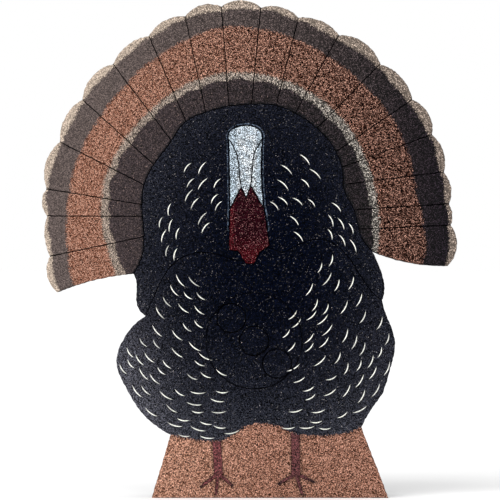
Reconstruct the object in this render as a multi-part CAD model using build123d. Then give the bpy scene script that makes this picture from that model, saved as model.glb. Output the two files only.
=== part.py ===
from build123d import *

import os
from math import cos, radians, sin

# A free-standing foam turkey decoy: two full-size foam planks at the back, cut foam facings and
# inlays at the front, a push-out scoring core in the breast and two stake sleeves in the foot.
# Millimetres. +X is to the right seen from the front, the front faces -Y and +Z is up.
# The origin is on the ground under the middle of the object's box.
# "Left" and "right" are as seen from the front.

# Layers, front to back
TOTAL_DEPTH = 100
HEAD_PROUD = 3
REAR_THICKNESS = 50
CENTER_THICKNESS = 25
BACK_Y = TOTAL_DEPTH / 2
REAR_FRONT_Y = BACK_Y - REAR_THICKNESS
CENTER_FRONT_Y = REAR_FRONT_Y - CENTER_THICKNESS
HEAD_FRONT_Y = -TOTAL_DEPTH / 2
FACE_Y = HEAD_FRONT_Y + HEAD_PROUD

# Tail fan: the angle of each feather's edges, how far each feather reaches from the fan's
# centre, and the angle at which each engraved line meets the body
FAN_CENTER = (-0.3, 391)
FEATHER_EDGES = [-9.7, 2, 8, 17, 28, 39, 52, 65.5, 77, 87, 97, 106.5, 117, 129, 141.5, 154.5,
                 168, 175.5, 187, 197.4]
FEATHER_REACH = [306, 300, 304, 309, 316, 319, 326, 328, 334, 341, 341, 335, 328, 325, 319,
                 316, 308, 301, 304]
LINE_ROOTS = [1.5, 12, 26, 35, 43, 57, 69, 78, 89, 99, 110, 120, 130.5, 145, 156, 165.5,
              171.5, 182.5]
ROOT_REACH_SIDE = 155
ROOT_REACH_TOP = 189
NOTCH_PER_DEGREE = 0.7
FAN_END_REACH = 296
GROOVE_WIDTH = 2.4
GROOVE_OVERRUN = 4

# Corners where the outlines of fan, body and foot meet
LEFT_FAN_CORNER = (-170.5, 329.5)
RIGHT_FAN_CORNER = (181, 363)
LEFT_WAIST = (-152.5, 268)
RIGHT_WAIST = (195, 291)
LEFT_FOOT_TOP = (-116, 93)
RIGHT_FOOT_TOP = (164.8, 103.5)
LEFT_FOOT = (-143.5, 0)
RIGHT_FOOT = (204.5, 0)

# Corners of the head: where the snood's lines start, the red peaks beside the snood's tip, and
# the lower tips of the cheeks
LEFT_TEMPLE = (-29.5, 527)
RIGHT_TEMPLE = (18.2, 527)
LEFT_PEAK = (-12, 457)
RIGHT_PEAK = (1.8, 459)
SNOOD_TIP = (-4.7, 441.5)
LEFT_CHEEK_TIP = (-27.7, 426)
RIGHT_CHEEK_TIP = (20.3, 428)

# Scoring core
CORE_CENTER = (7, 231)
CORE_FACE_RADIUS = 70.5
CORE_STEM_RADIUS = 58
CORE_CLEARANCE = 0.3
RING_RADIUS = 21.3
RING_OFFSET = 47.5
RING_GROOVE_RADIUS = 0.9

# Head inlays and legs
HEAD_INLAY_DEPTH = 12
LEG_INLAY_DEPTH = 4
SHANK_WIDTH = 12
TOE_WIDTH = 5.5
TOE_TIP_WIDTH = 2.5

# Stake sleeves, for 12.7 mm rods
SLEEVE_POSITIONS = {"left": -75, "right": 135}
SLEEVE_Y = 25
SLEEVE_LENGTH = 80
SLEEVE_BORE_RADIUS = 6.75
SLEEVE_BORE_DEPTH = 76
SLEEVE_OUTER_RADIUS = 8.75
SLEEVE_FLANGE_RADIUS = 13
SLEEVE_FLANGE_THICKNESS = 2.5
SLEEVE_CLEARANCE = 0.05


def slab(face, front, back):
    """Extrude a face drawn in X and Z from y = front to y = back."""
    return extrude(Plane.XZ.offset(-back) * face, amount=back - front)


def polar(angle, reach):
    """A point at an angle and a distance from the centre of the fan."""
    x, z = FAN_CENTER
    return (x + reach * cos(radians(angle)), z + reach * sin(radians(angle)))


def notch_reach(index):
    """How far out the notch between two feathers lies."""
    mean_reach = (FEATHER_REACH[index - 1] + FEATHER_REACH[index]) / 2
    mean_width = (FEATHER_EDGES[index + 1] - FEATHER_EDGES[index - 1]) / 2
    return mean_reach - NOTCH_PER_DEGREE * mean_width


def fan_notches():
    """The two lower corners of the fan and the 18 notches between them, from right to left."""
    notches = [polar(FEATHER_EDGES[0], FAN_END_REACH)]
    for index in range(1, len(FEATHER_REACH)):
        notches.append(polar(FEATHER_EDGES[index], notch_reach(index)))
    notches.append(polar(FEATHER_EDGES[-1], FAN_END_REACH))
    return notches


def fan_arcs():
    """One arc over the tip of each feather."""
    notches = fan_notches()
    arcs = []
    for index, reach in enumerate(FEATHER_REACH):
        middle = (FEATHER_EDGES[index] + FEATHER_EDGES[index + 1]) / 2
        arcs.append(ThreePointArc(notches[index], polar(middle, reach), notches[index + 1]))
    return arcs


def fan_lower_edges():
    notches = fan_notches()
    right = ThreePointArc(RIGHT_FAN_CORNER, (221, 349), notches[0])
    left = ThreePointArc(notches[-1], (-229, 320), LEFT_FAN_CORNER)
    return [right, left]


def dome_edge():
    """The edge of the upper body against the fan."""
    return Spline(LEFT_FAN_CORNER, (-155, 380), (-158, 432), (-153, 466), (-115, 525), (-94, 553),
                  (-65, 567), (-31, 576), (5, 579), (39, 577), (66, 567), (99, 544), (127, 510),
                  (137, 480), (139, 455), (154, 423), (161, 395), RIGHT_FAN_CORNER)


def shoulder_edges():
    """The sides of the upper body below the fan, down to the breast seam."""
    left = Spline(LEFT_FAN_CORNER, (-166, 315), (-166, 290), LEFT_WAIST)
    right = Spline(RIGHT_FAN_CORNER, (193, 335), (198.5, 313), RIGHT_WAIST)
    return [left, right]


def breast_seam():
    """The engraved line over both sides of the breast, behind the wattle in the middle."""
    return Spline(LEFT_WAIST, (-133, 313), (-105, 350), (-73, 361), (-40, 356), (-5, 350),
                  (28, 368), (45, 362), (66, 369), (110, 380), (136, 365), (166, 322), RIGHT_WAIST)


def lower_body_sides():
    left = Spline(LEFT_WAIST, (-170, 254), (-189.5, 225), (-195.5, 197), (-184, 167),
                  (-162, 130), (-139, 107), LEFT_FOOT_TOP)
    right = Spline(RIGHT_WAIST, (199.8, 273), (210.3, 247), (214.3, 224), (208.5, 195),
                   (194.5, 152), (183.5, 136), RIGHT_FOOT_TOP)
    return [left, right]


def belly_edge():
    """The lower edge of the body across the foot."""
    return Spline(LEFT_FOOT_TOP, (-78, 85), (-33, 87), (-5, 105), (17, 109), (40, 106), (65, 95),
                  (100, 91), (138, 94), RIGHT_FOOT_TOP)


def foot_outline():
    return Polyline(LEFT_FOOT_TOP, LEFT_FOOT, RIGHT_FOOT, RIGHT_FOOT_TOP)


def foot_face():
    return make_face([foot_outline(), belly_edge()])


def disc(radius, center=CORE_CENTER):
    return Pos(*center) * Circle(radius)


def silhouette():
    """The outline of the whole object, with the hole that the core's stem goes through."""
    edges = fan_arcs() + fan_lower_edges() + shoulder_edges() + lower_body_sides()
    return make_face(edges + [foot_outline()]) - disc(CORE_STEM_RADIUS + CORE_CLEARANCE)


def snood_lines():
    """The engraved lines between the snood and the cheeks."""
    left = Spline(LEFT_TEMPLE, (-22, 514), (-16.5, 497), (-14.5, 476), LEFT_PEAK)
    right = Spline(RIGHT_TEMPLE, (14, 519), (8, 509), (5.2, 493), (3.4, 476), RIGHT_PEAK)
    return [left, right]


def snood_tip():
    return [Line(LEFT_PEAK, SNOOD_TIP), Line(SNOOD_TIP, RIGHT_PEAK)]


def crown_snood_face():
    crown = Spline(LEFT_TEMPLE, (-27.5, 538), (-17, 545), (0, 546.3), (12.5, 542), RIGHT_TEMPLE)
    return make_face([crown] + snood_lines() + snood_tip())


def left_cheek_face():
    edge = Polyline(LEFT_TEMPLE, (-28.5, 480), LEFT_CHEEK_TIP, LEFT_PEAK)
    return make_face([edge, snood_lines()[0]])


def right_cheek_face():
    side = Spline(RIGHT_TEMPLE, (16.8, 500), (17.2, 465), RIGHT_CHEEK_TIP)
    return make_face([side, Line(RIGHT_CHEEK_TIP, RIGHT_PEAK), snood_lines()[1]])


def wattle_face():
    sides = Polyline(LEFT_PEAK, LEFT_CHEEK_TIP, (-29.5, 365), (-16, 364), (-5, 345), (6, 345),
                     (15, 362), (29, 371), RIGHT_CHEEK_TIP, RIGHT_PEAK)
    return make_face([sides] + snood_tip())


def head_face():
    return crown_snood_face() + left_cheek_face() + right_cheek_face() + wattle_face()


def leg_face(top, hock, toes):
    """A straight shank with three toes that taper to their claws."""
    half = SHANK_WIDTH / 2
    face = make_face(Polyline((top[0] - half, top[1]), (top[0] + half, top[1]),
                              (hock[0] + half, hock[1]), (hock[0] - half, hock[1]), close=True))
    for toe in toes:
        run = Vector(*toe) - Vector(*hock)
        side = Vector(-run.Y, run.X).normalized()
        root = Vector(*hock) - run.normalized() * half
        corners = [root + side * TOE_WIDTH / 2, Vector(*toe) + side * TOE_TIP_WIDTH / 2,
                   Vector(*toe) - side * TOE_TIP_WIDTH / 2, root - side * TOE_WIDTH / 2]
        face += make_face(Polyline(*corners, close=True))
    return face


def left_leg_face():
    return leg_face((-48.7, 95), (-45.5, 36), [(-72, 16), (-49.5, 4), (-24, 17)])


def right_leg_face():
    return leg_face((67.3, 105), (68.5, 36), [(42, 20), (78, 4), (96, 23)])


def groove(start, end):
    """A bar with a square section on edge, which cuts a V-shaped line into the front."""
    run = Vector(end[0] - start[0], 0, end[1] - start[1])
    middle = Vector((start[0] + end[0]) / 2, FACE_Y, (start[1] + end[1]) / 2)
    side = GROOVE_WIDTH / 2 ** 0.5
    bar = Rot(X=45) * Box(run.length, side, side)
    return Plane(origin=middle, x_dir=run, z_dir=(0, -1, 0)) * bar


def line_root(angle):
    reach = ROOT_REACH_SIDE + (ROOT_REACH_TOP - ROOT_REACH_SIDE) * sin(radians(angle)) ** 2
    return polar(angle, reach)


def make_rear_plank():
    plank = slab(silhouette(), REAR_FRONT_Y, BACK_Y)
    for x in SLEEVE_POSITIONS.values():
        hole = Cylinder(SLEEVE_OUTER_RADIUS + SLEEVE_CLEARANCE, SLEEVE_LENGTH, align=BOTTOM)
        hole += Cylinder(SLEEVE_FLANGE_RADIUS + SLEEVE_CLEARANCE, SLEEVE_FLANGE_THICKNESS,
                         align=BOTTOM)
        plank -= Pos(x, SLEEVE_Y, 0) * hole
    return plank


def make_center_plank():
    return slab(silhouette(), CENTER_FRONT_Y, REAR_FRONT_Y)


def make_tail_fan():
    face = make_face(fan_arcs() + fan_lower_edges() + [dome_edge()])
    fan = slab(face, FACE_Y, CENTER_FRONT_Y)
    for index, root in enumerate(LINE_ROOTS, start=1):
        outer_end = polar(FEATHER_EDGES[index], notch_reach(index) + GROOVE_OVERRUN)
        fan -= groove(line_root(root), outer_end)
    return fan


def make_back_panel():
    face = make_face([dome_edge(), breast_seam()] + shoulder_edges())
    panel = slab(face, FACE_Y, CENTER_FRONT_Y) - head_pocket()
    neck_lines = [((114, 475), (101, 392)), ((-108, 451), (-90, 404)), ((-90, 404), (-76, 375))]
    for start, end in neck_lines:
        panel -= groove(start, end)
    return panel


def make_breast_panel():
    face = make_face([breast_seam(), belly_edge()] + lower_body_sides())
    face -= disc(CORE_FACE_RADIUS + CORE_CLEARANCE)
    return slab(face, FACE_Y, CENTER_FRONT_Y) - head_pocket()


def make_base_panel():
    panel = slab(foot_face(), FACE_Y, CENTER_FRONT_Y)
    return panel - make_leg(left_leg_face()) - make_leg(right_leg_face())


def head_pocket():
    return slab(head_face(), HEAD_FRONT_Y, HEAD_FRONT_Y + HEAD_INLAY_DEPTH)


def make_head_inlay(face):
    return slab(face, HEAD_FRONT_Y, HEAD_FRONT_Y + HEAD_INLAY_DEPTH)


def make_leg(face):
    """A leg inlay, which ends at the belly's edge."""
    return slab(face & foot_face(), FACE_Y, FACE_Y + LEG_INLAY_DEPTH)


def make_core_face():
    core = slab(disc(CORE_FACE_RADIUS), FACE_Y, CENTER_FRONT_Y)
    diagonal = RING_OFFSET / 2 ** 0.5
    for step in (-1, 0, 1):
        ring_x = CORE_CENTER[0] + step * diagonal
        ring_z = CORE_CENTER[1] - step * diagonal
        ring = Rot(X=90) * Torus(RING_RADIUS, RING_GROOVE_RADIUS)
        core -= Pos(ring_x, FACE_Y, ring_z) * ring
    return core


def make_core_stem():
    return slab(disc(CORE_STEM_RADIUS), CENTER_FRONT_Y, BACK_Y)


def make_stake_sleeve(x):
    sleeve = Cylinder(SLEEVE_OUTER_RADIUS, SLEEVE_LENGTH, align=BOTTOM)
    sleeve += Cylinder(SLEEVE_FLANGE_RADIUS, SLEEVE_FLANGE_THICKNESS, align=BOTTOM)
    sleeve -= Cylinder(SLEEVE_BORE_RADIUS, SLEEVE_BORE_DEPTH, align=BOTTOM)
    return Pos(x, SLEEVE_Y, 0) * sleeve


BOTTOM = (Align.CENTER, Align.CENTER, Align.MIN)

PARTS = {
    "rear_plank": make_rear_plank(),
    "center_plank": make_center_plank(),
    "tail_fan": make_tail_fan(),
    "back_panel": make_back_panel(),
    "breast_panel": make_breast_panel(),
    "base_panel": make_base_panel(),
    "crown_snood": make_head_inlay(crown_snood_face()),
    "left_cheek": make_head_inlay(left_cheek_face()),
    "right_cheek": make_head_inlay(right_cheek_face()),
    "wattle": make_head_inlay(wattle_face()),
    "left_leg": make_leg(left_leg_face()),
    "right_leg": make_leg(right_leg_face()),
    "core_face": make_core_face(),
    "core_stem": make_core_stem(),
    "left_stake_sleeve": make_stake_sleeve(SLEEVE_POSITIONS["left"]),
    "right_stake_sleeve": make_stake_sleeve(SLEEVE_POSITIONS["right"]),
}

os.makedirs("parts", exist_ok=True)
for name, shape in PARTS.items():
    export_step(shape, f"parts/{name}.step")
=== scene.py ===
import math
import random
from collections import namedtuple
from functools import cache

import bpy
import numpy as np
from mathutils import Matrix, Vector, kdtree, noise
from mathutils.geometry import delaunay_2d_cdt


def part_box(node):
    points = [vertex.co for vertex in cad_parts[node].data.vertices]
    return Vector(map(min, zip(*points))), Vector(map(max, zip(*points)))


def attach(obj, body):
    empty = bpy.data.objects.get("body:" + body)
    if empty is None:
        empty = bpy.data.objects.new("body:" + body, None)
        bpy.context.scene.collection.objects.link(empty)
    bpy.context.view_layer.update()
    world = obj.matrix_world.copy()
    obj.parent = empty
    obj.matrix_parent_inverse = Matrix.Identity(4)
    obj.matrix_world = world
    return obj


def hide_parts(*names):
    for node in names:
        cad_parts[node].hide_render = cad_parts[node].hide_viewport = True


# The looks of a foam turkey decoy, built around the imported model. Metres, front towards -Y.
# Every foam piece is a new mesh made from its CAD node's outline: soft cut edges, engraved
# lines, inlay pockets and slightly uneven faces, with paint that follows the shape.

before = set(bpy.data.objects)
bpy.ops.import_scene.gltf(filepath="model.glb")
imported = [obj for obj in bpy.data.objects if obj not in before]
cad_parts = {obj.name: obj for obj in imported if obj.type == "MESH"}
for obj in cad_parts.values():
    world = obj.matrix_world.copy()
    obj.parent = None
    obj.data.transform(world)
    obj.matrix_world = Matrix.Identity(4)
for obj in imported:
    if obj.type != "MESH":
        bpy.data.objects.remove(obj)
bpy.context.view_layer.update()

MM = 0.001
BOARD = "board"
CORE = "core"
INLAYS = ["crown_snood", "left_cheek", "right_cheek", "wattle"]
LEGS = ["left_leg", "right_leg"]
SLEEVES = ["left_stake_sleeve", "right_stake_sleeve"]


def depths(node):
    """How far back the front and the back of a node lie."""
    return [corner.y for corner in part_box(node)]


FACE_Y, FACING_BACK_Y = depths("breast_panel")
CENTER_BACK_Y, REAR_BACK_Y = depths("rear_plank")
CORE_LOW, CORE_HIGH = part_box("core_face")
CORE_CENTER = (CORE_LOW + CORE_HIGH) / 2
CORE_RADIUS = (CORE_HIGH.x - CORE_LOW.x) / 2

# How close together points lie along outlines, grooves and inlays, and down the sides, where the
# first and last rows lie close to the edges
OUTLINE_STEP = 2.0 * MM
SAMPLE_STEP = 0.3 * MM
GROOVE_STEP = 1.2 * MM
INLAY_STEP = 0.6 * MM
WALL_STEP = 7 * MM
WALL_MARGIN = 0.9 * MM

# How close together points lie inside the faces; and as shares of that, how clear they stay of
# other points, and how far apart their rows are
SPACING = 4 * MM
PLANK_SPACING = 5 * MM
INLAY_SPACING = 2.5 * MM
HIDDEN_SPACING = 12 * MM
GRID_GAP = 0.6
HEXAGON_ROW = 0.87

# What counts as the same point, a flat face, a corner, one line, the seam between two inlays and
# a sharp edge
DECIMALS = 6
TINY = 1e-6
FLAT = 0.01 * MM
CORNER_TURN = math.radians(22)
TOUCHING = 0.35 * MM
MEETING = 0.8 * MM
SHARP_TURN = math.radians(50)

# Rounded cut edges: their radius on the silhouette and along the seams, and the rows of points
# across them as shares of the radius
FACE_ROUNDS = (2.2 * MM, 0.9 * MM)
PLANK_ROUNDS = (0.7 * MM, 0.7 * MM)
BACK_ROUNDS = (3.0 * MM, 0.9 * MM)
CORE_BACK_ROUNDS = (0.9 * MM, 0.9 * MM)
INLAY_ROUNDS = (1.1 * MM, 1.1 * MM)
LEG_ROUNDS = (0.6 * MM, 0.6 * MM)
UNROUNDED = (0, 0)
ROUND_ROWS = (0.3, 0.65, 1.0, 1.6)

# How far faces, sides and outlines stray from true, the size of the bumps, and the height up to
# which the foot is level
RELIEF = 0.22 * MM
BROAD_BUMPS = 34 * MM
FINE_BUMPS = 7 * MM
SAW_RELIEF = 0.22 * MM
SAW_BUMPS = 5 * MM
ROUGHNESS = 0.9 * MM
ROUGH_BUMPS = 4.5 * MM
LEVEL_HEIGHT = 6 * MM

# Grooves: half their width, their depth, and how bare they are cut, from 0 to 1
Groove = namedtuple("Groove", "half depth bare")
CAD_GROOVE_DEPTH = 1.2 * MM
GROOVE_DEPTH = 1.6 * MM
ENGRAVED = Groove(1.3 * MM, GROOVE_DEPTH, 1.0)
FEATHER_LINE = Groove(1.05 * MM, GROOVE_DEPTH, 1.0)
RING_LINE = Groove(1.2 * MM, GROOVE_DEPTH, 1.0)
LEG_LINE = Groove(0.8 * MM, GROOVE_DEPTH, 1.0)
SHOULDER_FOLD = Groove(2.6 * MM, 0.8 * MM, 0.22)

# The pockets that inlays lie in: the inlays, how deep they are let in and the groove round them
Pockets = namedtuple("Pockets", "nodes depth groove")
NO_POCKETS = Pockets([], 0.0, ENGRAVED)
HEAD_POCKETS = Pockets(INLAYS, depths("wattle")[1] - FACE_Y, ENGRAVED)
LEG_POCKETS = Pockets(LEGS, depths("left_leg")[1] - FACE_Y, LEG_LINE)

# The faint pale line round the head: how far out it lies, half its width and how low it reaches
HALO_OFFSET = 3.4 * MM
HALO_HALF = 0.5 * MM
HALO_FOOT = 395 * MM

# Scoring rings
RING_RADIUS = 21.3 * MM
RING_OFFSET = 47.5 * MM
RING_POINTS = 90

# Fan paint: for each angle round the fan's centre, how wide the pale tip is and where, going
# inwards, the rust, the cream and the brown begin, in millimetres from the centre
FAN_CENTER = (-0.3 * MM, 391 * MM)
FAN_BANDS = [
    (-4, 11, 261, 191.5, 184),
    (13, 11, 253, 193.5, 184.5),
    (34, 15, 267.5, 204, 195),
    (59, 16, 279, 221, 209),
    (82, 12.5, 296, 231, 222.5),
    (97, 11.5, 305, 237.5, 227.5),
    (112, 12, 295, 236, 226),
    (135, 12.5, 280, 229, 221),
    (161, 11.5, 273, 227, 217.5),
    (181, 10.5, 268, 214, 203.5),
    (193, 10, 270, 207, 195.5),
]

# How far each band's edge bows outward across a feather, and how far it steps from one feather
# to the next, in millimetres; the angles of the fan's two ends; and over how many degrees to each
# side the highest tip counts as the fan's reach
BAND_ARCH = {"to_tip": 2.5, "to_rust": 2.0, "to_cream": 0.5, "to_brown": 4.0}
BAND_STEP = 0.7
FAN_ENDS = (-9.7, 197.4)
NOTCH_ANGLE = 7
FAN_SEED = 11

# Painted strokes on the body, in rows: the first and the last stroke's middle, the number of
# strokes and their slope in degrees, in millimetres
STROKE_ROWS = [
    # upper body, left
    ((-91, 487), (-69, 486), 2, 54), ((-88, 464), (-49, 462), 3, 53),
    ((-89, 445), (-82, 434), 2, 55), ((-52, 441), (-47, 429), 2, 54),
    ((-71, 411), (-65, 398), 2, 52), ((-130, 406), (-121, 364), 3, 71),
    ((-118, 425), (-116, 400), 2, 78), ((-107, 390), (-110, 358), 2, 78),
    # upper body, right
    ((83, 498), (96, 476), 2, -43), ((56, 484), (50, 460), 2, -44),
    ((83, 464), (92, 433), 2, -46), ((51, 438), (72, 437), 2, -42),
    ((38, 431), (38, 431), 1, -42), ((66, 409), (73, 384), 2, -43),
    ((128, 428), (128, 428), 1, -49), ((121, 408), (151, 397), 3, -64),
    ((120, 387), (152, 371), 3, -65),
    # breast, left
    ((-102, 320), (-132, 271), 4, -52), ((-137, 246), (-177, 213), 3, -53),
    ((-82, 317), (-98, 279), 3, -43), ((-93, 250), (-107, 239), 2, -48),
    ((-137, 226), (-148, 206), 2, -49), ((-161, 203), (-186, 189), 3, -55),
    ((-71, 296), (-75, 254), 3, -44), ((-82, 223), (-106, 212), 2, -37),
    ((-121, 197), (-139, 174), 3, -45), ((-156, 183), (-156, 183), 1, -51),
    ((-152, 157), (-166, 156), 2, -49), ((-65, 206), (-74, 197), 2, -27),
    ((-85, 178), (-42, 184), 3, -31), ((-123, 151), (-102, 154), 2, -33),
    ((-75, 156), (-41, 155), 2, -8), ((-81, 138), (-48, 142), 2, -9),
    ((-145, 125), (-114, 130), 2, -36), ((-77, 126), (-45, 126), 2, -3),
    ((-97, 115), (-64, 111), 2, -11), ((-110, 107), (-76, 102), 2, -14),
    ((-45, 103), (-45, 103), 1, -10), ((-24, 97), (-24, 97), 1, 16),
    ((-97, 91), (-62, 88), 2, -6),
    # breast, right
    ((120, 349), (104, 339), 2, 70), ((115, 322), (89, 305), 2, 58),
    ((150, 315), (129, 312), 2, 66), ((97, 284), (97, 284), 1, 62),
    ((65, 269), (70, 256), 2, 43), ((140, 280), (114, 276), 2, 65),
    ((91, 267), (108, 261), 2, 46), ((114, 246), (63, 221), 3, 45),
    ((54, 240), (54, 240), 1, 47), ((110, 229), (89, 220), 2, 46),
    ((161, 290), (167, 265), 2, 63), ((191, 257), (203, 233), 2, 70),
    ((142, 239), (167, 220), 3, 65), ((192, 215), (203, 191), 2, 68),
    ((130, 205), (130, 205), 1, 66), ((104, 202), (104, 202), 1, 42),
    ((178, 199), (144, 189), 3, 67), ((64, 191), (74, 173), 2, 28),
    ((183, 184), (144, 158), 3, 61), ((120, 175), (88, 160), 2, 21),
    ((187, 157), (166, 149), 2, 61), ((120, 154), (91, 147), 2, 33),
    ((164, 130), (137, 122), 2, 28), ((102, 126), (67, 129), 2, 8),
    ((98, 111), (98, 111), 1, 8), ((58, 103), (112, 103), 3, 2),
]

# The strokes' size, how far under the face they start, how far they bow away from the middle of
# the body, their points along and across, how far they stop from the core's edge, and how much a
# hand strays in place, in slope and in size
STROKE_LENGTH = 21 * MM
STROKE_WIDTH = 1.7 * MM
STROKE_HEIGHT = 0.35 * MM
STROKE_SUNK = 0.05 * MM
STROKE_BOW = 2.2 * MM
STROKES_MIDDLE = Vector((0, 250 * MM))
STROKE_POINTS = 21
STROKE_SECTION = 7
STROKE_SEED = 4
CORE_GAP = 0.4 * MM
STRAY = 1.2
SLOPE_STRAY = 4
SIZES = (0.8, 1.12)


# ---------------- outlines from the CAD nodes

def node_edges(node, wanted):
    """The directed edges of a node's triangles that pass a test, and the places of their ends."""
    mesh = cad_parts[node].data
    corners = np.array([vertex.co for vertex in mesh.vertices])
    joined = np.unique(np.round(corners, DECIMALS), axis=0, return_inverse=True)[1].reshape(-1)
    places = {}
    edges = set()
    for polygon in mesh.polygons:
        ring = list(polygon.vertices)
        for a, b in zip(ring, ring[1:] + ring[:1]):
            places[joined[a]] = corners[a]
            if wanted(corners[ring], corners[[a, b]]):
                edges.add((joined[a], joined[b]))
    return edges, places


def level(points, y):
    """Whether all the points lie at one depth."""
    return (abs(points[:, 1] - y) < FLAT).all()


@cache
def outlines(node):
    """The outlines of a node's flat back, as arrays of (x, z) points. The outer one runs one way
    round, and holes the other."""
    y = depths(node)[1]
    edges, places = node_edges(node, lambda triangle, edge: level(triangle, y))
    following = {a: b for a, b in edges if (b, a) not in edges}
    loops = []
    while following:
        start, here = following.popitem()
        loop = [start]
        while here != start:
            loop.append(here)
            here = following.pop(here)
        loops.append(np.array([places[i][[0, 2]] for i in loop]))
    outer = max(loops, key=length_round)
    return [wound(loop, positive=loop is outer) for loop in loops]


def length_round(loop):
    return np.linalg.norm(np.roll(loop, -1, axis=0) - loop, axis=1).sum()


def wound(loop, positive):
    """A loop that runs the way asked for."""
    after = np.roll(loop, -1, axis=0)
    area = (loop[:, 0] * after[:, 1] - after[:, 0] * loop[:, 1]).sum()
    return loop if (area > 0) == positive else loop[::-1]


def engraved_lines(node):
    """The bottoms of a node's V-shaped grooves, as pairs of (x, z) points."""
    y = FACE_Y + CAD_GROOVE_DEPTH
    edges, places = node_edges(node, lambda triangle, edge: level(edge, y))
    once = {tuple(sorted(edge)) for edge in edges}
    return [np.array([places[a][[0, 2]], places[b][[0, 2]]]) for a, b in sorted(once)]


def spread(points, spacing, closed):
    """Points spread evenly along a line."""
    run = np.vstack([points, points[:1]]) if closed else points
    lengths = np.concatenate([[0], np.cumsum(np.linalg.norm(np.diff(run, axis=0), axis=1))])
    count = max(1, round(lengths[-1] / spacing))
    along = np.linspace(0, lengths[-1], count + 1)
    even = np.column_stack([np.interp(along, lengths, run[:, i]) for i in (0, 1)])
    return even[:-1] if closed else even


def resample(loop, spacing):
    """Points spread evenly along a closed loop between its corners, which stay."""
    before = loop - np.roll(loop, 1, axis=0)
    after = np.roll(loop, -1, axis=0) - loop
    cross = before[:, 0] * after[:, 1] - before[:, 1] * after[:, 0]
    turn = np.abs(np.arctan2(cross, (before * after).sum(axis=1)))
    corners = np.flatnonzero(turn > CORNER_TURN)
    if len(corners) == 0:
        return spread(loop, spacing, closed=True)
    runs = []
    for start, end in zip(corners, np.roll(corners, -1)):
        end = end if end > start else end + len(loop)
        run = loop[np.arange(start, end + 1) % len(loop)]
        runs.append(spread(run, spacing, closed=False)[:-1])
    return np.concatenate(runs)


def inside(points, loops):
    """Which points lie inside a set of outlines with holes."""
    odd = np.zeros(len(points), bool)
    for loop in loops:
        for (ax, az), (bx, bz) in zip(loop, np.roll(loop, -1, axis=0)):
            if az == bz:
                continue
            crosses = (az > points[:, 1]) != (bz > points[:, 1])
            odd ^= crosses & (points[:, 0] < ax + (points[:, 1] - az) * (bx - ax) / (bz - az))
    return odd


def joined_rows(rows):
    """Arrays of points joined into one, which may be empty."""
    return np.concatenate([np.zeros((0, 2)), *rows])


def samples_along(lines, closed):
    """Close samples along some lines."""
    return joined_rows([spread(line, SAMPLE_STEP, closed) for line in lines])


def find_nearest(samples, points):
    """The distance from each point to the nearest sample, and that sample's index. Without
    samples everything is far away."""
    if len(samples) == 0:
        return np.full(len(points), 1.0), np.zeros(len(points), int)
    tree = kdtree.KDTree(len(samples))
    for index, (x, z) in enumerate(samples):
        tree.insert((x, 0, z), index)
    tree.balance()
    found = [tree.find((x, 0, z)) for x, z in points]
    return np.array([f[2] for f in found]), np.array([f[1] for f in found], int)


def distances(samples, points):
    return find_nearest(samples, points)[0]


SILHOUETTE = samples_along([max(outlines("center_plank"), key=length_round)], closed=True)


def inner_edge(node):
    """Samples along the part of a panel's outline that isn't on the silhouette."""
    loop = resample(outlines(node)[0], SAMPLE_STEP)
    return samples_along([loop[distances(SILHOUETTE, loop) > TOUCHING]], closed=False)


# The edge of the foot panel that the painted belly meets, where no line is engraved
BELLY = inner_edge("base_panel")


# ---------------- the faces of foam pieces

def sideways(along):
    """The directions square to some others, to their left."""
    along = along / np.maximum(np.linalg.norm(along, axis=1)[:, None], TINY)
    return np.column_stack([-along[:, 1], along[:, 0]])


def inward_normals(loops):
    return joined_rows([sideways(np.roll(loop, -1, axis=0) - np.roll(loop, 1, axis=0)) for loop in loops])


def beside(line, offset):
    """A line moved sideways."""
    return line + sideways(np.gradient(line, axis=0)) * offset


def hexagonal_grid(loops, spacing):
    low, high = np.min(joined_rows(loops), axis=0), np.max(joined_rows(loops), axis=0)
    grid = []
    for index, z in enumerate(np.arange(low[1], high[1], spacing * HEXAGON_ROW)):
        x = np.arange(low[0] + (index % 2) * spacing / 2, high[0], spacing)
        grid.append(np.column_stack([x, np.full(len(x), z)]))
    return joined_rows(grid)


def rim_sides(loops):
    """The sides of outlines, as pairs of point numbers."""
    sides = []
    for loop in loops:
        start = len(sides)
        sides += [(start + i, start + (i + 1) % len(loop)) for i in range(len(loop))]
    return sides


def fill(loops, extra, spacing):
    """Triangles that fill outlines. The outlines' own points come first."""
    rim = samples_along(loops, closed=True)
    detail = joined_rows(extra)
    detail = detail[inside(detail, loops) & (distances(rim, detail) > TOUCHING)]
    detail = np.unique(np.round(detail, DECIMALS), axis=0)
    grid = hexagonal_grid(loops, spacing)
    grid = grid[inside(grid, loops)]
    for others in (rim, detail):
        grid = grid[distances(others, grid) > GRID_GAP * spacing]
    points = joined_rows([*loops, detail, grid])
    sides = rim_sides(loops)
    made = delaunay_2d_cdt([Vector(p) for p in points], sides, [], 0, TINY / 10, True)
    source = [ids[0] for ids in made[3]]
    triangles = np.array([[source[i] for i in corners] for corners in made[2]])
    return points, triangles[within_sides(triangles.tolist(), set(sides))]


def within_sides(triangles, sides):
    """The triangles inside outlines: those to the left of the outlines' sides, and all that can
    be reached from them without crossing a side."""
    left_of = {side: index for index, corners in enumerate(triangles) for side in around(corners)}
    reached = {left_of[side] for side in sides}
    waiting = list(reached)
    while waiting:
        for side in around(triangles[waiting.pop()]):
            other = None if side in sides else left_of[side[::-1]]
            if other is not None and other not in reached:
                reached.add(other)
                waiting.append(other)
    return sorted(reached)


def around(triangle):
    """The three sides of a triangle, as pairs of corners."""
    a, b, c = triangle
    return (a, b), (b, c), (c, a)


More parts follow.
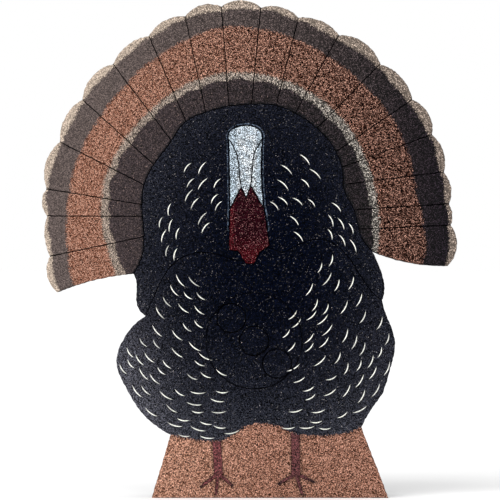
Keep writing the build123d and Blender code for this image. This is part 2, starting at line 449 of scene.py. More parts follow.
def edge_rounds(samples, outer, seam):
    """The edge radius at each outline sample: outer edges, seams and the flush belly line."""
    rounds = np.where(distances(SILHOUETTE, samples) < TOUCHING, outer, seam)
    rounds[distances(BELLY, samples) < TOUCHING] = 0
    return rounds


# A face of a foam piece, how far each of its points is sunk, and how bare it is cut there
Face = namedtuple("Face", "points triangles sunk engraved")


def face(loops, spacing, rounds, lines=(), groove=ENGRAVED, pockets=NO_POCKETS, dark_edges=True):
    """A face with rounded edges, grooves along some lines, and pockets."""
    outer_round, seam_round = rounds
    rim = samples_along(loops, closed=True)
    extra = rounded_rows(loops, rim, max(rounds)) + pocket_points(pockets)
    for line in lines:
        run = spread(line, GROOVE_STEP, closed=False)
        extra += [run, beside(run, groove.half), beside(run, -groove.half)]
    points, triangles = fill(loops, extra, spacing)
    distance, nearest = find_nearest(rim, points)
    radius = edge_rounds(rim, outer_round, seam_round)[nearest]
    short = np.clip(radius - distance, 0, None)
    sunk = radius - np.sqrt(np.maximum(radius ** 2 - short ** 2, 0))
    cut = cut_by(groove, distances(samples_along(lines, closed=False), points))
    sunk = np.maximum(sunk, cut * groove.depth)
    engraved = cut * groove.bare
    sunk, engraved = let_in(pockets, points, sunk, engraved)
    if dark_edges:
        seam = np.clip(1 - distance / (seam_round + TINY), 0, 1) * (radius == seam_round)
        engraved = np.maximum(engraved, seam)
    return Face(points, triangles, sunk, engraved)


def rounded_rows(loops, rim, radius):
    """Rows of points inside an outline, across its rounded edge, except where another stretch of
    the outline is closer."""
    rows = []
    for share in ROUND_ROWS:
        inset = joined_rows(loops) + inward_normals(loops) * radius * share
        rows.append(inset[distances(rim, inset) > 0.9 * radius * share])
    return rows


def cut_by(groove, distance):
    """How much a V-shaped groove cuts, from 0 to 1, at a distance from its middle."""
    return np.clip(1 - distance / groove.half, 0, 1)


# ---------------- inlays

def meeting(node, others):
    """An inlay's outline, and which of its points lie where it meets other inlays."""
    loop = resample(outlines(node)[0], INLAY_STEP)
    near = np.zeros(len(loop), bool)
    for other in others:
        if other != node:
            near |= distances(resample(outlines(other)[0], INLAY_STEP), loop) < MEETING
    return loop, near


def inlay_rim(nodes):
    """Samples of the joint outline of some inlays, without the lines between them."""
    return joined_rows([loop[~near] for loop, near in (meeting(node, nodes) for node in nodes)])


def shared_edges(node):
    """The stretches of a head inlay's outline where it meets the other inlays."""
    loop, near = meeting(node, INLAYS)
    start = np.flatnonzero(~near)[0]
    loop, near = np.roll(loop, -start, axis=0), np.roll(near, -start)
    breaks = np.flatnonzero(np.diff(near.astype(int))) + 1
    runs = np.split(np.arange(len(loop)), breaks)
    return [loop[run] for run in runs if near[run[0]] and len(run) > 2]


def pocket_points(pockets):
    """Points at, just outside and just inside the joint outline of the inlays in some pockets."""
    rim = inlay_rim(pockets.nodes)
    half = pockets.groove.half
    turns = np.arange(8) * math.pi / 4
    ring = np.column_stack([np.cos(turns), np.sin(turns)])
    beside_rim = (rim[::2, None, :] + ring[None] * half).reshape(-1, 2)
    return [rim[::2], beside_rim[distances(rim, beside_rim) > 0.97 * half]]


def let_in(pockets, points, sunk, engraved):
    """Sinks the pockets into a face, with a groove round each group of inlays."""
    away = distances(inlay_rim(pockets.nodes), points)
    within = np.zeros(len(points), bool)
    for node in pockets.nodes:
        within |= inside(points, outlines(node))
    cut = cut_by(pockets.groove, away)
    sunk = np.where(within & (away > SAMPLE_STEP), pockets.depth, sunk)
    return np.maximum(sunk, cut * pockets.groove.depth), np.maximum(engraved, cut)


# ---------------- foam pieces

def relief(x, z):
    """How far a foam face strays from flat."""
    broad = noise.noise(Vector((x, 0, z)) / BROAD_BUMPS)
    fine = noise.noise(Vector((x, 7, z)) / FINE_BUMPS)
    return RELIEF * (broad + 0.5 * fine)


def strayed(x, y, z):
    """Where a point of the sawn outline really ends up. Pieces that meet stray together, and the
    foot stays level."""
    side = ROUGHNESS * noise.noise(Vector((x, 3, z)) / ROUGH_BUMPS)
    rise = ROUGHNESS * noise.noise(Vector((x, 9, z)) / ROUGH_BUMPS) * min(1, max(0, z) / LEVEL_HEIGHT)
    return x + side, y, z + rise


def wall_shares(thickness):
    """Where the rows of points lie between the front, at 0, and the back, at 1: one row close to
    each face and the others evenly between."""
    close = WALL_MARGIN / thickness
    count = max(2, round(thickness / WALL_STEP))
    return [close] + [row / count for row in range(1, count)] + [1 - close]


def sawn_row(front, back, normals, share):
    """A row of points round the side of a piece, between its front and back rims."""
    row = []
    for start, end, (nx, nz) in zip(front, back, normals):
        here = Vector(start).lerp(Vector(end), share)
        saw = SAW_RELIEF * noise.noise(Vector((here.x / SAW_BUMPS, share * 2, here.z / SAW_BUMPS)))
        row.append((here.x + nx * saw, here.y, here.z + nz * saw))
    return row


def slab(loops, front, back, front_y, back_y):
    """The points and faces of a slab: a front, a back and the sawn sides between them. Backs are
    glued flat, except those that show at the back of the decoy."""
    bumpy = back_y == REAR_BACK_Y
    vertices = [(x, front_y + sunk + relief(x, z), z) for (x, z), sunk in zip(front.points, front.sunk)]
    start = len(vertices)
    vertices += [(x, back_y - sunk - bumpy * relief(x, z), z)
                 for (x, z), sunk in zip(back.points, back.sunk)]
    faces = [tuple(corners) for corners in front.triangles]
    faces += [tuple(start + i for i in reversed(corners)) for corners in back.triangles]

    sides = rim_sides(loops)
    count = len(sides)
    rims = vertices[:count], vertices[start:start + count]
    rows = [range(count)]
    for share in wall_shares(back_y - front_y):
        rows.append(range(len(vertices), len(vertices) + count))
        vertices += sawn_row(*rims, inward_normals(loops), share)
    rows.append(range(start, start + count))
    for upper, lower in zip(rows, rows[1:]):
        faces += [(upper[b], upper[a], lower[a], lower[b]) for a, b in sides]
    return vertices, faces


def foam_piece(name, node, material, body=BOARD, spacing=SPACING, front_rounds=FACE_ROUNDS,
               back_rounds=PLANK_ROUNDS, lines=(), groove=ENGRAVED, pockets=NO_POCKETS,
               dark_edges=True, marks=None):
    """A slab of foam with the outline of its CAD node, which it stands for."""
    loops = [resample(loop, OUTLINE_STEP) for loop in outlines(node)]
    front = face(loops, spacing, front_rounds, lines, groove, pockets, dark_edges)
    back_spacing = HIDDEN_SPACING if back_rounds == UNROUNDED else spacing
    back = face(loops, back_spacing, back_rounds, dark_edges=dark_edges)
    vertices, faces = slab(loops, front, back, *depths(node))
    mesh = new_mesh(name, [strayed(*vertex) for vertex in vertices], faces, material)
    mesh.set_sharp_from_angle(angle=SHARP_TURN)
    engraved = [*front.engraved, *back.engraved]
    store(mesh, "engraved", engraved + [0.0] * (len(vertices) - len(engraved)))
    if marks:
        for key, values in marks(np.array(vertices)[:, [0, 2]]).items():
            store(mesh, key, values)
    piece = new_object(name, mesh)
    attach(piece, body)
    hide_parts(node)


def new_mesh(name, vertices, faces, material):
    mesh = bpy.data.meshes.new(name)
    mesh.from_pydata(vertices, [], faces)
    mesh.validate()
    mesh.polygons.foreach_set("use_smooth", [True] * len(mesh.polygons))
    mesh.materials.append(material)
    return mesh


def new_object(name, data):
    made = bpy.data.objects.new(name, data)
    bpy.context.scene.collection.objects.link(made)
    return made


def store(mesh, name, values):
    """Keeps a number for each point, for the paint to follow."""
    attribute = mesh.attributes.new(name, "FLOAT", "POINT")
    attribute.data.foreach_set("value", np.asarray(values, dtype=np.float32))


# ---------------- marks that the paint follows

def body_marks(flat):
    """How far above the belly line points lie, negative below it, and how far from the head."""
    distance = distances(BELLY, flat)
    rim = inlay_rim(INLAYS)
    return {"belly": np.where(inside(flat, outlines("base_panel")), -distance, distance),
            "from_head": distances(rim[rim[:, 1] > HALO_FOOT], flat)}


def foot_marks(flat):
    """How far below the belly line points lie, as negative distances, and how far from the legs."""
    return {"belly": -distances(BELLY, flat), "from_legs": distances(inlay_rim(LEGS), flat)}


def feather_bands(lines):
    """A function that gives fan points their distance outward from the edge of each paint band.
    The edges bow outward across each feather, and are not quite level from one to the next."""
    ends = sorted([tip_and_root(line) for line in lines], key=lambda pair: pair[0][0])
    tips, roots = np.array(ends).transpose(1, 2, 0)[..., None]
    rand = random.Random(FAN_SEED)
    steps = np.array([[rand.uniform(-1, 1) * BAND_STEP for _ in range(len(lines) + 1)]
                      for _ in BAND_ARCH])
    angles, *widths = zip(*FAN_BANDS)

    def bands(flat):
        angle, reach = polar(flat)
        share = (reach - roots[1]) / (tips[1] - roots[1])
        line_angles = roots[0] + (tips[0] - roots[0]) * share
        borders = np.vstack([np.full_like(angle, FAN_ENDS[0]), line_angles,
                             np.full_like(angle, FAN_ENDS[1])])
        feather = np.clip((line_angles < angle).sum(axis=0), 0, len(lines))
        own = np.arange(len(flat))
        below = borders[feather, own]
        above = borders[feather + 1, own]
        across = np.clip((angle - below) / np.maximum(above - below, TINY), 0, 1)
        arch = 1 - (2 * across - 1) ** 2
        tip, *inner = [np.interp(angle, angles, width) * MM for width in widths]
        edges = [fan_reach(angle) - tip, *inner]
        found = {"to_body": distances(inner_edge("tail_fan"), flat)}
        for (name, bow), edge, step in zip(BAND_ARCH.items(), edges, steps):
            found[name] = reach - edge + ((1 - arch) * bow - step[feather]) * MM
        return found
    return bands


def polar(flat):
    """Angles in degrees and distances of (x, z) points from the fan's centre."""
    x, z = (flat - np.array(FAN_CENTER)).T
    angle = np.degrees(np.arctan2(z, x))
    return np.where(angle < -90, angle + 360, angle), np.hypot(x, z)


def tip_and_root(line):
    """The (angle, distance) of an engraved line's outer and inner end."""
    ends = np.column_stack(polar(line))
    return ends[np.argmax(ends[:, 1])], ends[np.argmin(ends[:, 1])]


def fan_reach(angle):
    """How far the feather tips reach at an angle, with the notches smoothed over."""
    rim_angle, rim_reach = polar(resample(outlines("tail_fan")[0], OUTLINE_STEP))
    keys = np.arange(*FAN_ENDS, 1.0)
    tips = [rim_reach[np.abs(rim_angle - key) < NOTCH_ANGLE].max() for key in keys]
    return np.interp(angle, keys, tips)


# ---------------- materials

def rgb(red, green, blue):
    """A colour given as on a screen, from 0 to 255."""
    return tuple(((c / 255 + 0.055) / 1.055) ** 2.4 if c > 10 else c / 255 / 12.92
                 for c in (red, green, blue)) + (1.0,)


# Where the painted light's change from left to right begins and ends, and that of the dark band: a
# painted sheen lightens and washes out the left, and painted shade darkens the right
PAINTED_LIGHT_SPAN = (-260 * MM, 280 * MM)
PAINTED_LIGHT_SPAN_DARK = (-250 * MM, 360 * MM)

# Foam: its cells, its finer grain and its specks, and how deep its pits look
CELL_SIZE = 0.85 * MM
GRAIN_SIZE = 0.6 * MM
DUST_SIZE = 0.7 * MM
PIT_DEPTH = 0.35 * MM
CHARCOAL = rgb(1, 1, 2)
BARE_FOAM = rgb(44, 44, 48)
GLUE_LINE = rgb(14, 14, 15)

# Behind the face, the grain fades, and overspray reaches back in patches and on single cells.
# The edges of sprayed bands wander and are soft
GRAIN_FADE = (1 * MM, 4 * MM)
MIST_SIZE = 9 * MM
MIST_REACH = 16 * MM
MIST_CELLS = 6 * MM
MIST_EDGE = (-9 * MM, 2 * MM)
SPRAY_SIZE = 8 * MM
SPRAY_EDGE = 0.6 * MM

# How shiny the paints are
PAINT_GLOSS = 0.12
RUST_GLOSS = 0.02
BODY_GLOSS = 0.008
FOOT_GLOSS = 0.0
WATTLE_GLOSS = 0.03

# The darkest place of the body, how far from it the painted sheen greys the paint fully, and how late it
# turns
NAVY_X = 35 * MM
NAVY_Z = 330 * MM
PAINTED_SHEEN_REACH = 270 * MM
PAINTED_SHEEN_POWER = 2.9

# The middles of the head and of the two shanks
HEAD_MIDDLE = -4 * MM
LEG_MIDDLES = (-48.3 * MM, 68.2 * MM)


class Shade:
    """Builds one material's nodes."""

    def __init__(self, name):
        self.material = bpy.data.materials.new(name)
        self.material.use_nodes = True
        self.tree = self.material.node_tree
        self.tree.nodes.clear()
        self.place = self.add("ShaderNodeTexCoord", {})["Object"]
        self.x, self.y, self.z = self.add("ShaderNodeSeparateXYZ", {0: self.place})

    def add(self, kind, inputs, **settings):
        """Makes a node from its inputs, which are values or other nodes' outputs, and gives its
        outputs."""
        node = self.tree.nodes.new(kind)
        for key, value in settings.items():
            setattr(node, key, value)
        for key, value in inputs.items():
            if isinstance(value, bpy.types.NodeSocket):
                self.tree.links.new(value, node.inputs[key])
            else:
                node.inputs[key].default_value = value
        return node.outputs

    def math(self, operation, a, b=0.0):
        return self.add("ShaderNodeMath", {0: a, 1: b}, operation=operation)[0]

    def plus(self, a, b):
        return self.math("ADD", a, b)

    def minus(self, a, b):
        return self.math("SUBTRACT", a, b)

    def times(self, a, b):
        return self.math("MULTIPLY", a, b)

    def apart(self, a, b):
        """How far apart two numbers are."""
        return self.math("ABSOLUTE", self.minus(a, b))

    def step(self, value, low, high, start=0.0, end=1.0):
        """Smoothly from start, at low, to end, at high."""
        inputs = dict(enumerate((value, low, high, start, end)))
        return self.add("ShaderNodeMapRange", inputs, interpolation_type="SMOOTHSTEP")[0]

    def varied(self, noise, start, end):
        """A number that follows a noise."""
        return self.step(noise, 0.3, 0.7, start, end)

    def mix(self, factor, a, b):
        """From one colour to another."""
        return self.add("ShaderNodeMix", {0: factor, 6: a, 7: b}, data_type="RGBA")[2]

    def blend(self, factor, a, b):
        """From one number to another."""
        return self.add("ShaderNodeMix", {0: factor, 2: a, 3: b}, data_type="FLOAT")[0]

    def scaled(self, color, amount):
        """A colour made brighter or darker."""
        return self.add("ShaderNodeVectorMath", {0: color, "Scale": amount}, operation="SCALE")[0]

    def noise(self, size, detail=2.0, stretch=(1, 1, 1)):
        """Noise of about the given grain size in metres."""
        place = self.add("ShaderNodeMapping", {"Vector": self.place, "Scale": stretch})[0]
        return self.add("ShaderNodeTexNoise", {"Vector": place, "Scale": 1 / size, "Detail": detail})[0]

    def cells(self, size):
        """Foam cells: distance from each cell's middle, and three random values for each cell."""
        cells = self.add("ShaderNodeTexVoronoi", {"Vector": self.place, "Scale": 1 / size})
        return cells["Distance"], *self.add("ShaderNodeSeparateXYZ", {0: cells["Color"]})

    def attribute(self, name):
        return self.add("ShaderNodeAttribute", {}, attribute_name=name)["Fac"]

    def finish(self, color, roughness, height, depth, specular=0.3):
        bump = self.add("ShaderNodeBump", {"Strength": 1.0, "Distance": depth, "Height": height})[0]
        surface = {"Base Color": color, "Roughness": roughness, "Specular IOR Level": specular,
                   "Normal": bump}
        surface = self.add("ShaderNodeBsdfPrincipled", surface)[0]
        self.add("ShaderNodeOutputMaterial", {"Surface": surface})
        return self.material


class FoamShade(Shade):
    """A shade with the foam's own grain: cells of different brightness with dark pits. The
    higher the contrast, the fewer and brighter the bright cells. It can change to the right, as painted
    light: a painted sheen washes the grain out on the left."""

    def __init__(self, name, contrast=2.5, right_contrast=None):
        super().__init__(name)
        distance, self.tone, _, self.scatter = self.cells(CELL_SIZE)
        self.dust, self.dust_strength = self.cells(DUST_SIZE)[1:3]
        self.grain = self.noise(GRAIN_SIZE, 3.0)
        self.wall = self.step(distance, 0.1, 0.6)
        contrast = self.step(self.x, *PAINTED_LIGHT_SPAN, contrast, right_contrast or contrast)
        cell = self.times(self.math("POWER", self.tone, contrast), self.plus(contrast, 1.0))
        self.bright = self.times(cell, self.varied(self.grain, 0.75, 1.25))

    def sprayed(self, distance, fuzz):
        """From 0 to 1 across a sprayed edge, which is broken up by the grain."""
        ragged = self.times(self.minus(self.scatter, 0.5), fuzz)
        wander = self.times(self.minus(self.noise(SPRAY_SIZE), 0.5), fuzz)
        edge = self.plus(distance, self.plus(ragged, wander))
        return self.step(edge, -SPRAY_EDGE, SPRAY_EDGE)

    def speckle(self, share, color, speck_color):
        """Scatters fine specks of another colour over some share of the surface."""
        chosen = self.step(self.dust, 0.98 - share, 1.02 - share)
        return self.mix(self.times(chosen, self.dust_strength), color, speck_color)

    def foam(self, color, lines=0.95, grainy=1.0, cover=1.0, specular=PAINT_GLOSS):
        """Finishes the material: engraved lines are nearly black, and the paint fades out along
        the sides."""
        behind = self.minus(self.y, FACE_Y)
        grainy = self.times(self.step(behind, *GRAIN_FADE, 1.0, 0.3), grainy)
        color = self.scaled(color, self.blend(grainy, 1.0, self.bright))
        engraved = self.times(self.step(self.attribute("engraved"), 0.1, 0.45), lines)
        color = self.mix(engraved, color, CHARCOAL)
        mist = self.plus(self.times(self.noise(MIST_SIZE, 4.0), MIST_REACH),
                         self.times(self.scatter, MIST_CELLS))
        bare = self.step(self.minus(behind, mist), *MIST_EDGE)
        soft = self.times(self.step(self.tone, 0.0, 1.0, 0.7, 1.3), self.varied(self.grain, 0.8, 1.2))
        color = self.mix(self.times(bare, cover), color, self.scaled(BARE_FOAM[:3], soft))
        height = self.times(self.plus(self.wall, self.grain), 0.6)
        dull = self.step(engraved, 0.0, 1.0, specular, 0.0)
        return self.finish(color, self.varied(self.grain, 0.75, 0.95), height, PIT_DEPTH, dull)


def fan_paint():
    """Brown, cream, rust, dark and pale bands, all of them darker and grainier towards the right: painted
    shade there, and a painted sheen that lightens and washes out the left.
    """
    shade = FoamShade("fan_paint", 1.9, 7.0)
    # Every band's colour below goes from a painted sheen on the left to painted shade on the right
    right = shade.step(shade.x, *PAINTED_LIGHT_SPAN)
    brown = shade.mix(right, rgb(50, 42, 43), rgb(19, 15, 18))
    brown = shade.speckle(0.06, brown, shade.mix(right, rgb(126, 106, 97), rgb(36, 31, 36)))
    cream = shade.mix(right, rgb(123, 110, 100), rgb(105, 101, 96))
    red_rust = shade.mix(right, rgb(133, 80, 59), rgb(99, 46, 28))
    tan_rust = shade.mix(right, rgb(122, 93, 80), rgb(82, 60, 52))
    rust = shade.mix(shade.step(shade.tone, 0.3, 0.95), red_rust, tan_rust)
    dark = shade.mix(shade.step(shade.x, *PAINTED_LIGHT_SPAN_DARK), rgb(80, 70, 67), rgb(11, 6, 14))
    tip = shade.mix(right, rgb(160, 145, 131), rgb(114, 102, 93))

    is_cream = shade.sprayed(shade.attribute("to_brown"), 3.5 * MM)
    is_rust = shade.sprayed(shade.attribute("to_cream"), 5 * MM)
    is_dark = shade.sprayed(shade.attribute("to_rust"), 5 * MM)
    is_tip = shade.sprayed(shade.attribute("to_tip"), 4 * MM)
    color = brown
    # Less grain on the left, where the painted sheen washes it out
    grainy = shade.step(shade.x, -200 * MM, 200 * MM, 0.75, 1.0)
    for is_here, band, strength in (
            (is_cream, cream, 0.9),
            (is_rust, rust, 1.0),
            (is_dark, dark, shade.step(shade.x, 0, 250 * MM, 0.65, 0.9)),
            (is_tip, tip, shade.step(shade.x, 0, 250 * MM, 0.6, 0.55))):
        color = shade.mix(is_here, color, band)
        grainy = shade.blend(is_here, grainy, strength)
    clear_of_body = shade.sprayed(shade.plus(shade.attribute("to_body"), -2.4 * MM), 4 * MM)
    color = shade.mix(clear_of_body, rgb(10, 10, 15), color)
    gloss = shade.blend(is_dark, shade.blend(is_rust, PAINT_GLOSS, RUST_GLOSS), PAINT_GLOSS)
    return shade.foam(color, grainy=grainy, specular=gloss)


def body_color(shade):
    """Navy black, deepest in the middle of the breast and greyed towards the edges by a painted
    sheen, most of all low on the left."""
    across = shade.minus(shade.x, NAVY_X)
    across = shade.times(across, shade.step(across, -50 * MM, 50 * MM, 0.93, 1.06))
    up = shade.minus(shade.z, NAVY_Z)
    up = shade.times(up, shade.step(up, -20 * MM, 20 * MM, 1.0, 0.62))
    away = shade.math("SQRT", shade.plus(shade.times(across, across), shade.times(up, up)))
    # Painted sheen: the navy turns grey away from its darkest place
    painted_sheen = shade.math("POWER", shade.math("DIVIDE", away, PAINTED_SHEEN_REACH), PAINTED_SHEEN_POWER)
    painted_sheen = shade.math("MINIMUM", painted_sheen, 1.0)
    # The painted sheen is at its lightest low on the left
    low_left = shade.times(shade.step(shade.x, -190 * MM, -70 * MM, 1.0, 0.0),
                           shade.step(shade.z, 200 * MM, 380 * MM, 1.0, 0.0))
    sheen_color = shade.mix(low_left, rgb(47, 48, 55), rgb(70, 70, 77))
    color = shade.speckle(0.018, shade.mix(painted_sheen, rgb(3, 5, 15), sheen_color), rgb(138, 132, 130))
    halo = shade.step(shade.apart(shade.attribute("from_head"), HALO_OFFSET),
                      HALO_HALF, 2 * HALO_HALF, 0.8, 0.0)
    return shade.mix(shade.times(halo, shade.step(shade.tone, 0.2, 0.8)), color, rgb(66, 76, 90))


def half_filled(shade):
    """How clearly the engraved lines show on the body, where the paint partly fills them."""
    return shade.step(shade.noise(14 * MM), 0.3, 0.6, 0.85, 1.0)


def body_paint():
    shade = FoamShade("body_paint")
    return shade.foam(body_color(shade), lines=half_filled(shade), specular=BODY_GLOSS)


def breast_paint():
    shade = FoamShade("breast_paint")
    above_belly_line = shade.sprayed(shade.attribute("belly"), 5 * MM)
    color = shade.mix(above_belly_line, rgb(144, 105, 88), body_color(shade))
    return shade.foam(color, lines=half_filled(shade), specular=BODY_GLOSS)


def foot_paint():
    """Sandy brown with black overspray under the belly and dusky edges round the legs."""
    shade = FoamShade("foot_paint")
    # The sand is painted darker towards the right, as painted shade
    right = shade.step(shade.x, -160 * MM, 60 * MM)
    red_sand = shade.mix(right, rgb(159, 103, 79), rgb(139, 89, 68))
    pale_sand = shade.mix(right, rgb(144, 111, 95), rgb(127, 95, 82))
    sand = shade.mix(shade.step(shade.tone, 0.3, 0.95), red_sand, pale_sand)
    from_leg = shade.plus(shade.attribute("from_legs"), shade.times(shade.noise(12 * MM), -5 * MM))
    sand = shade.mix(shade.step(from_leg, -1 * MM, 2 * MM, 0.35, 0.0), sand, rgb(52, 46, 42))
    overspray = shade.sprayed(shade.attribute("belly"), 7 * MM)
    return shade.foam(shade.mix(overspray, sand, rgb(14, 14, 18)), specular=FOOT_GLOSS)


def head_paint():
    """Pale grey, bluer in patches and along both sides."""
    shade = FoamShade("head_paint", 2.6)
    patches = shade.step(shade.noise(9 * MM), 0.42, 0.62)
    sides = shade.step(shade.apart(shade.x, HEAD_MIDDLE), 11 * MM, 17 * MM)
    blue = shade.math("MAXIMUM", shade.times(patches, 0.5), shade.times(sides, 0.7))
    return shade.foam(shade.mix(blue, rgb(159, 164, 168), rgb(124, 139, 151)), cover=0.0)


def wattle_paint():
    """Dark red with pale specks, painted brighter low down and along the left as painted light."""
    shade = FoamShade("wattle_paint", 2.1)
    # Painted light: the red is brighter low down and along the left
    low = shade.step(shade.z, 350 * MM, 390 * MM, 1.0, 0.0)
    left = shade.step(shade.x, -26 * MM, -19 * MM, 1.0, 0.0)
    color = shade.mix(shade.math("MAXIMUM", low, left), rgb(26, 1, 7), rgb(53, 5, 12))
    color = shade.speckle(0.09, color, rgb(158, 112, 112))
    return shade.foam(color, cover=0.0, specular=WATTLE_GLOSS)


def leg_paint():
    """Dusky red, with black claws on the outer toes of each foot."""
    shade = FoamShade("leg_paint", 2.3)
    right = shade.step(shade.x, 0, 20 * MM)
    out = shade.apart(shade.x, shade.blend(right, *LEG_MIDDLES))
    claw = shade.step(out, 17 * MM, 24 * MM, 0.0, 0.85)
    # The right leg's red is painted a little darker, as painted shade
    red = shade.mix(right, rgb(93, 52, 53), rgb(84, 49, 50))
    return shade.foam(shade.mix(claw, red, rgb(24, 18, 21)), cover=0.0)


def bare_foam():
    """Bare charcoal foam, with saw lines along the sides and dark glue between the planks."""
    shade = FoamShade("charcoal_foam", 0.5)
    saw = shade.plus(shade.noise(2.4 * MM, 3.0, stretch=(1, 0.04, 1)),
                     shade.noise(5 * MM, 3.0, stretch=(0.03, 1, 1)))
    color = shade.mix(shade.step(shade.noise(60 * MM, 3.0), 0.35, 0.65), rgb(46, 46, 50), rgb(54, 54, 58))
    color = shade.scaled(color, shade.times(shade.bright, shade.step(saw, 0.75, 1.3, 0.78, 1.25)))
    for seam in (FACING_BACK_Y, CENTER_BACK_Y):
        glue = shade.step(shade.apart(shade.y, seam), 0.2 * MM, 1.1 * MM, 0.85, 0.0)
        color = shade.mix(glue, color, GLUE_LINE)
    color = shade.mix(shade.step(shade.attribute("engraved"), 0.0, 0.5, 0.0, 0.9), color, GLUE_LINE)
    height = shade.plus(shade.times(shade.wall, 0.6), shade.times(saw, 0.8))
    return shade.finish(color, shade.varied(shade.grain, 0.7, 0.95), height, 0.5 * MM, specular=0.2)


def stroke_paint():
    """Cream white, thinner in some places than in others, most of all on the left."""
    shade = Shade("stroke_paint")
    grain = shade.noise(1.8 * MM, 3.0)
    color = shade.mix(shade.step(grain, 0.35, 0.65), rgb(198, 198, 190), rgb(246, 245, 236))
    thin = shade.times(shade.step(shade.noise(28 * MM), 0.36, 0.5, 0.5, 0.0),
                       shade.step(shade.x, -100 * MM, 50 * MM, 1.0, 0.4))
    color = shade.mix(thin, color, rgb(84, 86, 88))
    return shade.finish(color, shade.varied(grain, 0.5, 0.7), grain, 0.12 * MM)


def sleeve_plastic():
    shade = Shade("sleeve_plastic")
    grain = shade.noise(0.8 * MM)
    color = shade.mix(shade.noise(12 * MM), rgb(34, 34, 36), rgb(48, 48, 50))
    return shade.finish(color, shade.varied(grain, 0.35, 0.5), grain, 0.05 * MM, specular=0.5)


# ---------------- the pieces

def ring_lines():
    """The three small scoring rings, on a diagonal through the core's middle."""
    turn = np.linspace(0, 2 * math.pi, RING_POINTS)
    circle = np.column_stack([np.cos(turn), np.sin(turn)]) * RING_RADIUS
    step = RING_OFFSET / math.sqrt(2)
    middle = np.array([CORE_CENTER.x, CORE_CENTER.z])
    return [circle + middle + np.array([i * step, -i * step]) for i in (-1, 0, 1)]


def build_planks(bare):
    foam_piece("rear_foam_plank", "rear_plank", bare, spacing=PLANK_SPACING,
               front_rounds=PLANK_ROUNDS, back_rounds=BACK_ROUNDS)
    foam_piece("center_foam_plank", "center_plank", bare, spacing=HIDDEN_SPACING,
               front_rounds=PLANK_ROUNDS)


def build_facing(black):
    """The four sheets at the front, with pockets for the head and the legs."""
    fan_lines = engraved_lines("tail_fan")
    foam_piece("painted_fan", "tail_fan", fan_paint(), lines=fan_lines, groove=FEATHER_LINE,
               marks=feather_bands(fan_lines))
    foam_piece("painted_back", "back_panel", black, lines=engraved_lines("back_panel"),
               groove=SHOULDER_FOLD, pockets=HEAD_POCKETS, marks=body_marks)
    foam_piece("painted_breast", "breast_panel", breast_paint(), pockets=HEAD_POCKETS,
               marks=body_marks)
    foam_piece("painted_foot", "base_panel", foot_paint(), pockets=LEG_POCKETS, marks=foot_marks)


def build_inlays():
    white = head_paint()
    for node in INLAYS:
        paint = wattle_paint() if node == "wattle" else white
        foam_piece("painted_" + node, node, paint, spacing=INLAY_SPACING, front_rounds=INLAY_ROUNDS,
                   back_rounds=UNROUNDED, lines=shared_edges(node), dark_edges=False)
    red = leg_paint()
    for node in LEGS:
        foam_piece("painted_" + node, node, red, spacing=INLAY_SPACING, front_rounds=LEG_ROUNDS,
                   back_rounds=UNROUNDED, dark_edges=False)


def paint_sleeves():
    plastic = sleeve_plastic()
    for node in SLEEVES:
        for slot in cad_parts[node].material_slots:
            slot.material = plastic


def build_core(black, bare):
    foam_piece("painted_core_face", "core_face", black, body=CORE, lines=ring_lines(), groove=RING_LINE)
    foam_piece("core_foam_stem", "core_stem", bare, body=CORE, spacing=PLANK_SPACING,
               front_rounds=PLANK_ROUNDS, back_rounds=CORE_BACK_ROUNDS)


def build_decoy():
    bare = bare_foam()
    black = body_paint()
    build_planks(bare)
    build_facing(black)
    build_inlays()
    paint_sleeves()
    build_core(black, bare)


# ---------------- painted strokes

def stroke_places():
    """The middle, slope and size of every painted stroke, with a hand's unevenness."""
    rand = random.Random(STROKE_SEED)
    for (x0, z0), (x1, z1), count, slope in STROKE_ROWS:
        for index in range(count):
            share = index / max(1, count - 1)
            x = (x0 + (x1 - x0) * share + rand.uniform(-STRAY, STRAY)) * MM
            z = (z0 + (z1 - z0) * share + rand.uniform(-STRAY, STRAY)) * MM
            turned = math.radians(slope + rand.uniform(-SLOPE_STRAY, SLOPE_STRAY))
            yield Vector((x, z)), turned, rand.uniform(*SIZES)


def stroke_line(middle, slope, size):
    """Points along one stroke, bowed away from the middle of the body, and its width at each."""
    along = Vector((math.cos(slope), math.sin(slope)))
    out = Vector((-along.y, along.x))
    if out.dot(middle - STROKES_MIDDLE) < 0:
        out = -out
    for index in range(STROKE_POINTS):
        t = 2 * index / (STROKE_POINTS - 1) - 1
        place = middle + along * t * STROKE_LENGTH / 2 * size
        place += out * STROKE_BOW * (1 - t * t) - out * STROKE_BOW / 2
        yield place, out, STROKE_WIDTH / 2 * max(0.2, 1 - abs(t) ** 2.5)


def ridge_points(place, out, width):
    """The rounded section of a stroke at one point, which starts just under the face."""
    for index in range(STROKE_SECTION):
        turn = math.pi * index / (STROKE_SECTION - 1)
        spot = place + out * width * math.cos(turn)
        height = STROKE_HEIGHT * math.sin(turn) * min(1, width / MM)
        yield spot.x, FACE_Y + relief(spot.x, spot.y) - height + STROKE_SUNK, spot.y


def build_strokes(name, body, paint, wanted):
    """Raised strokes of paint: a low ridge with a rounded section along each stroke."""
    vertices = []
    faces = []
    for stroke in stroke_places():
        run = [point for point in stroke_line(*stroke) if wanted(point[0])]
        if len(run) < 3:
            continue
        first = len(vertices)
        for point in run:
            vertices += ridge_points(*point)
        for row in range(len(run) - 1):
            start = first + row * STROKE_SECTION
            for index in range(STROKE_SECTION):
                a = start + index
                b = start + (index + 1) % STROKE_SECTION
                faces.append((a, a + STROKE_SECTION, b + STROKE_SECTION, b))
        faces.append(tuple(range(first, first + STROKE_SECTION)))
        faces.append(tuple(reversed(range(len(vertices) - STROKE_SECTION, len(vertices)))))
    piece = new_object(name, new_mesh(name, vertices, faces, paint))
    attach(piece, body)


def beyond_core(place):
    """How far outside the core's edge a place on the face lies."""
    return math.hypot(place.x - CORE_CENTER.x, place.y - CORE_CENTER.z) - CORE_RADIUS


# ---------------- floor, light and camera

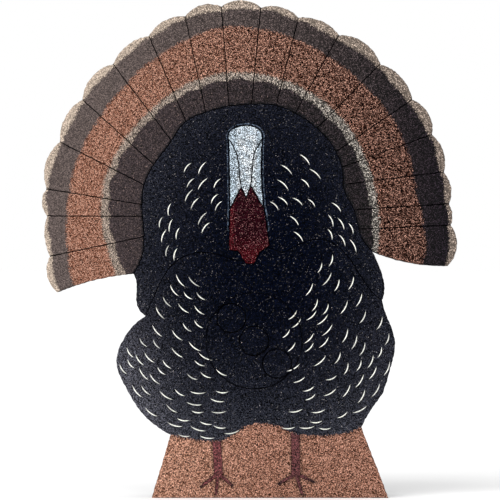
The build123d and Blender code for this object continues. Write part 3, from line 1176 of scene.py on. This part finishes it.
# Places and sizes in metres, the lamp's power in watts, and the camera's sensor in millimetres
FLOOR_RADIUS = 60
FLOOR_SIDES = 64
SUN_DIRECTION = Vector((0.5, 0.8, -1.0))
SUN_POWER = 1.1
SUN_ANGLE = math.radians(40)
LAMP_PLACE = Vector((-1.2, -1.5, 0.9))
LAMP_TARGET = Vector((0, 0, 0.37))
LAMP_SIZE = 0.9
LAMP_POWER = 14
CAMERA_DISTANCE = 6.0
CAMERA_X = 0.9 * MM
CAMERA_Z = 364.6 * MM
SENSOR_WIDTH = 36
FRAMED_WIDTH = 735 * MM


def build_floor():
    shade = Shade("pale_floor")
    grain = shade.noise(0.2)
    color = shade.mix(grain, rgb(238, 238, 238), rgb(243, 243, 243))
    paint = shade.finish(color, 0.9, grain, 0.1 * MM, specular=0.0)
    turns = [2 * math.pi * i / FLOOR_SIDES for i in range(FLOOR_SIDES)]
    rim = [(FLOOR_RADIUS * math.cos(turn), FLOOR_RADIUS * math.sin(turn), 0) for turn in turns]
    new_object("floor", new_mesh("floor", rim, [range(FLOOR_SIDES)], paint))


def aimed(direction):
    """The turn that points a lamp along a direction."""
    return direction.to_track_quat("-Z", "Y").to_euler()


def build_light():
    """A white studio: light from all round, a soft sun high on the left, and a lamp beside it."""
    world = bpy.data.worlds.new("studio")
    world.use_nodes = True
    background = world.node_tree.nodes["Background"]
    background.inputs["Color"].default_value = (1.0, 1.0, 1.0, 1.0)
    background.inputs["Strength"].default_value = 1.0
    bpy.context.scene.world = world
    data = bpy.data.lights.new("soft_sun", "SUN")
    data.energy = SUN_POWER
    data.angle = SUN_ANGLE
    new_object("soft_sun", data).rotation_euler = aimed(SUN_DIRECTION)
    data = bpy.data.lights.new("left_lamp", "AREA")
    data.size = LAMP_SIZE
    data.energy = LAMP_POWER
    lamp = new_object("left_lamp", data)
    lamp.location = LAMP_PLACE
    lamp.rotation_euler = aimed(LAMP_TARGET - LAMP_PLACE)


def build_camera():
    """Square to the front, far away, framed on the middle of the front face."""
    data = bpy.data.cameras.new("camera")
    data.sensor_width = SENSOR_WIDTH
    data.lens = SENSOR_WIDTH * (CAMERA_DISTANCE + FACE_Y) / FRAMED_WIDTH
    data.clip_end = 200
    camera = new_object("camera", data)
    camera.location = (CAMERA_X, -CAMERA_DISTANCE, CAMERA_Z)
    camera.rotation_euler = (math.pi / 2, 0, 0)
    bpy.context.scene.camera = camera


bpy.context.scene.view_settings.view_transform = "Standard"
white_paint = stroke_paint()
build_decoy()
build_strokes("painted_strokes", BOARD, white_paint, lambda place: beyond_core(place) > CORE_GAP)
build_strokes("painted_core_strokes", CORE, white_paint, lambda place: beyond_core(place) < -CORE_GAP)
build_floor()
build_light()
build_camera()
